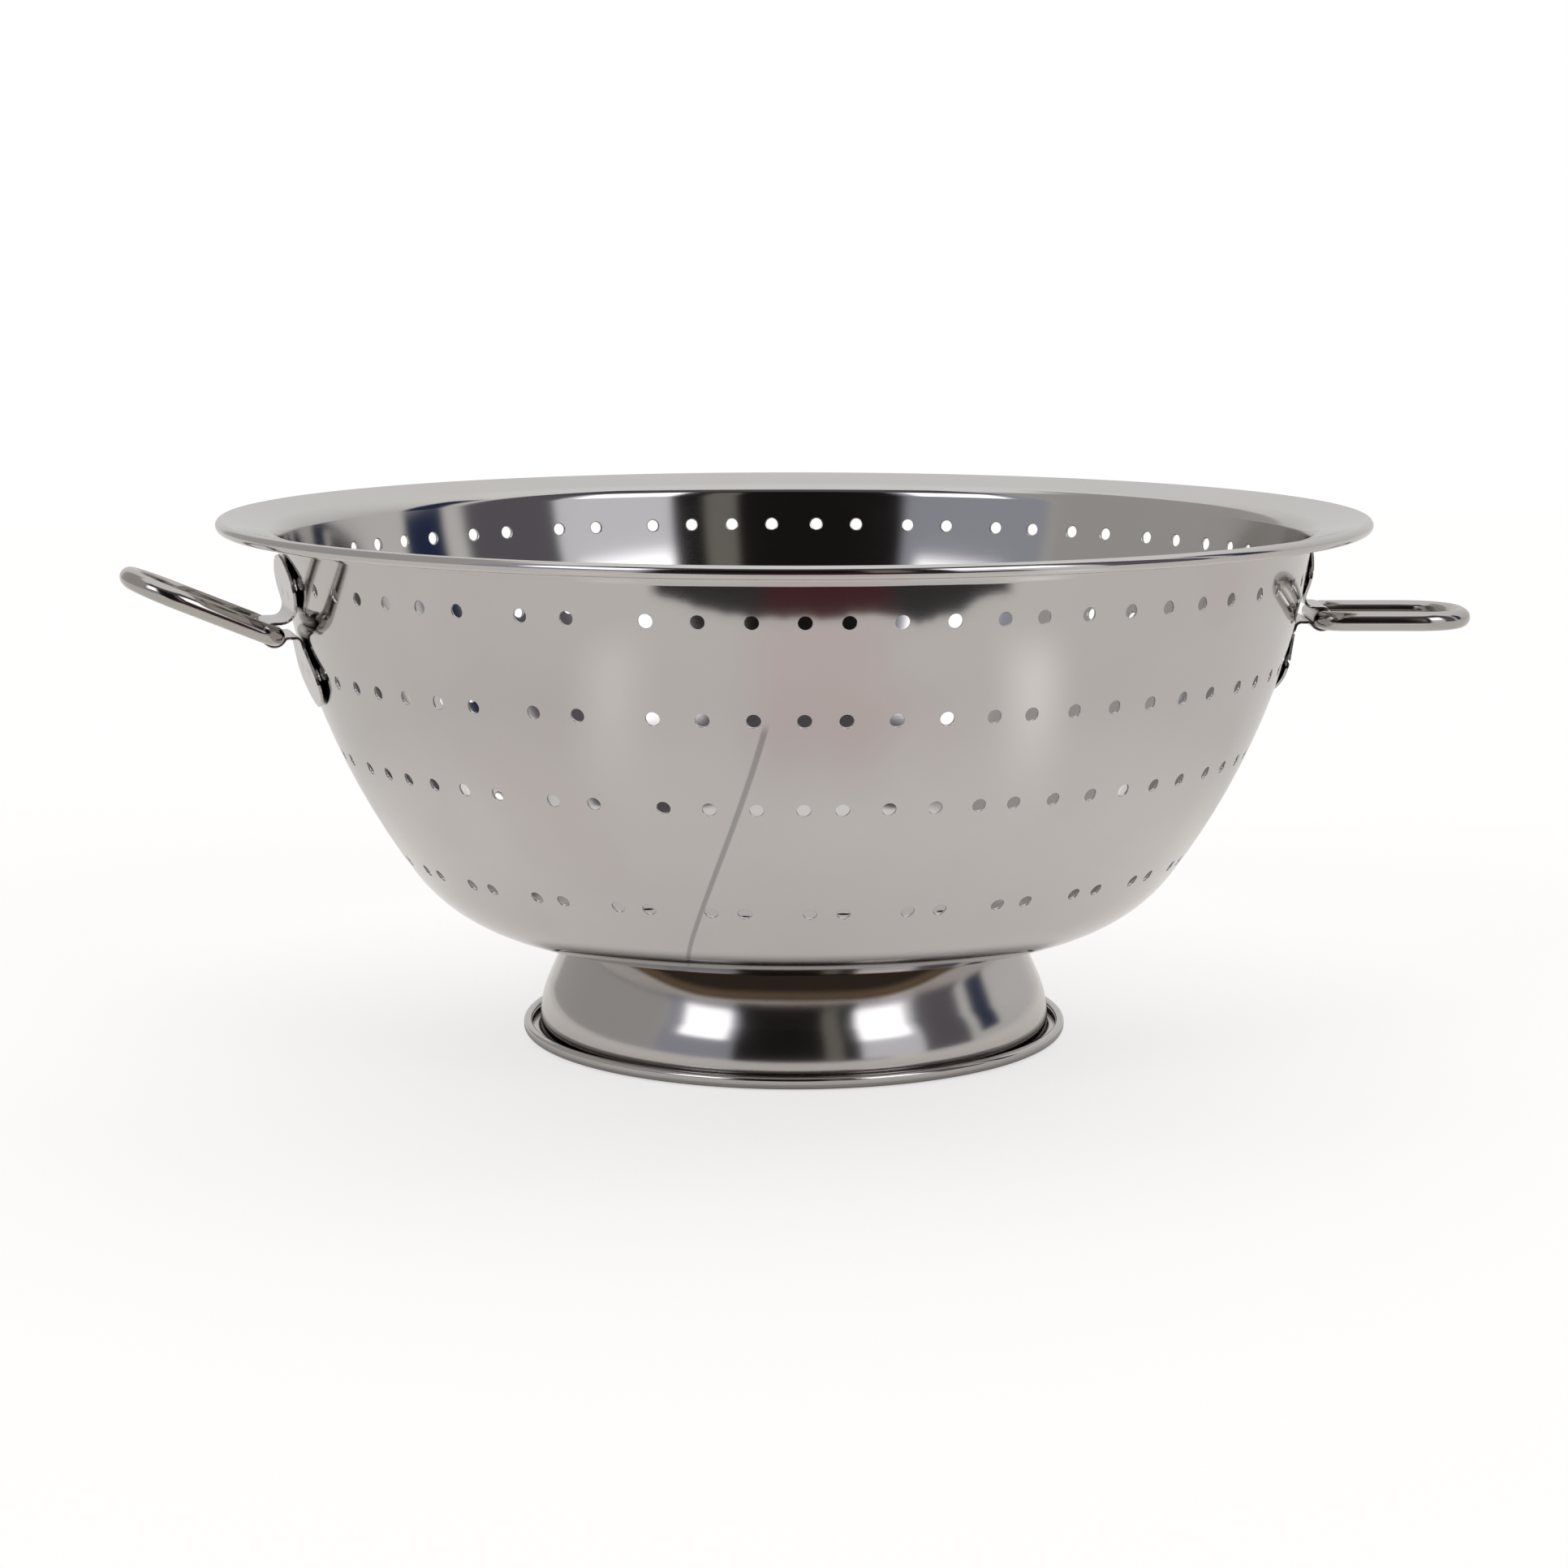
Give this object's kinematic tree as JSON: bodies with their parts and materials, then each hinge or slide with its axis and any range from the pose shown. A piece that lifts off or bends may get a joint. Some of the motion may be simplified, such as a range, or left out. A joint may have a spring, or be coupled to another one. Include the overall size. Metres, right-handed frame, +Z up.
{
  "type": "colander",
  "caption": "Footed stainless steel colander: punched round bowl with a flared rolled rim, a flared foot ring and swinging wire ring handles in folded straps.",
  "frame": {"origin": "centre of the foot on the table", "axes": "+Z up the bowl's axis, +X to the side of the right ring handle, the picture's view looks along +Y. Both handles are turned 8 degrees from the X axis towards -Y"},
  "size_m": [0.4147, 0.3558, 0.1635],
  "materials": {
    "bowl_steel": "mirror polished stainless sheet",
    "foot_steel": "mirror polished stainless sheet",
    "strap_steel": "polished stainless sheet",
    "wire_steel": "polished stainless wire",
    "weld_steel": "dull weld nugget"
  },
  "bodies": {
    "bowl_body": {"bowl": "bowl_steel", "foot_ring": "foot_steel", "foot_spot_welds": "weld_steel", "left_handle_strap": "strap_steel", "right_handle_strap": "strap_steel", "left_strap_spot_welds": "weld_steel", "right_strap_spot_welds": "weld_steel"},
    "left_ring": {"left_ring_handle": "wire_steel"},
    "right_ring": {"right_ring_handle": "wire_steel"}
  },
  "joints": [
    {"name": "left_ring_hinge", "type": "hinge", "parent": "bowl_body", "child": "left_ring", "pos_m": [-0.16191, -0.02276, 0.131], "axis": [-0.1392, 0.9903, 0], "range_deg": [-135, 33]},
    {"name": "right_ring_hinge", "type": "hinge", "parent": "bowl_body", "child": "right_ring", "pos_m": [0.16191, -0.02276, 0.131], "axis": [-0.1392, -0.9903, 0], "range_deg": [-112, 56]}
  ]
}
